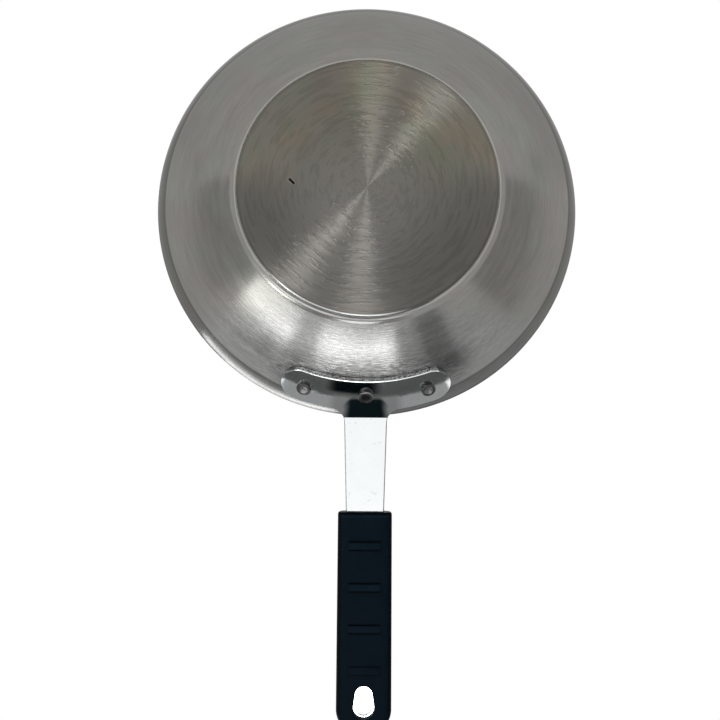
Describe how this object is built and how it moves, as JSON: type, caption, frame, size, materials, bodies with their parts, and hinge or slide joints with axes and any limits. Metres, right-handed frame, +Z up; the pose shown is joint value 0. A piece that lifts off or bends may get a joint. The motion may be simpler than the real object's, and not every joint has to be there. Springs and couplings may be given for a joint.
{
  "type": "omelette pan",
  "caption": "Round metal pan with a flared wall and flat base, a riveted strap handle rising from the rim, and a slip-on grip with a hanging hole.",
  "frame": {"origin": "centre of the underside of the flat turned base, which stands on the table", "axes": "+Z up out of the bowl, +Y away from the handle, so the handle runs out along -Y; +X completes a right-handed frame"},
  "size_m": [0.2032, 0.3545, 0.0696],
  "materials": {
    "bowl": "brushed, with a turned base",
    "plated_steel": "bright plated",
    "rivets": "satin",
    "rubber": "matte moulded"
  },
  "bodies": {
    "pan": {"pan_body": "bowl", "handle": "plated_steel", "rivet_left": "rivets", "rivet_centre": "rivets", "rivet_right": "rivets"},
    "grip": {"grip_sleeve": "rubber"}
  },
  "joints": [
    {"name": "grip_slide", "type": "slide", "parent": "pan", "child": "grip", "axis": [0, -0.9816, 0.1908], "range_m": [0, 0.11]}
  ]
}
